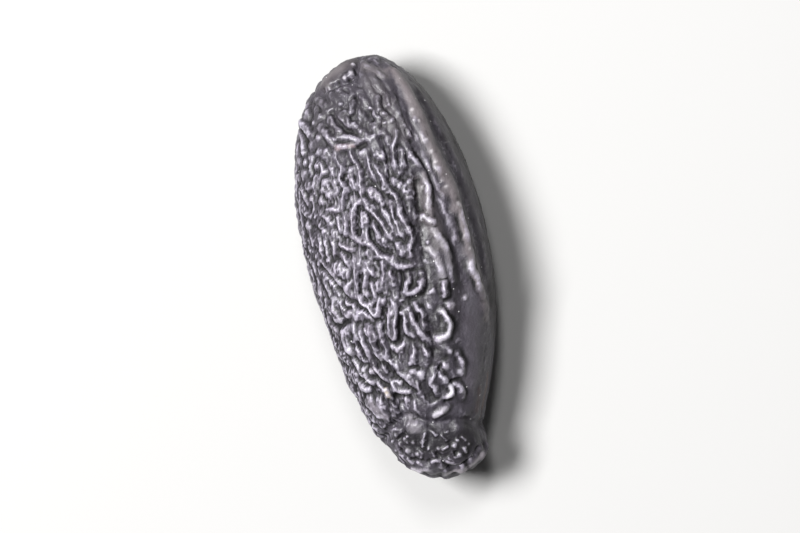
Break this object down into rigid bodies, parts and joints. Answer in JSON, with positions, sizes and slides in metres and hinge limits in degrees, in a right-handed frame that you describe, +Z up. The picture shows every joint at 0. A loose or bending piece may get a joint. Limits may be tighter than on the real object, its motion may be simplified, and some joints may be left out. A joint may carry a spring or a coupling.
{
  "type": "tonka bean",
  "caption": "Dried tonka bean seed: a long, dark, wrinkled oval with a blunt nub at one end, lying on its broad side on a small flat spot.",
  "frame": {"origin": "on the resting plane, under the middle of the bean's bounding box", "axes": "+Y along the bean towards its round end, +Z up from the resting plane, +X across the broad face"},
  "size_m": [0.0144, 0.0334, 0.0102],
  "materials": {
    "bean_skin": "black-brown wrinkled seed coat, satin, paler along the ridge tops"
  },
  "bodies": {
    "root": {"tonka_bean": "bean_skin"}
  },
  "joints": []
}
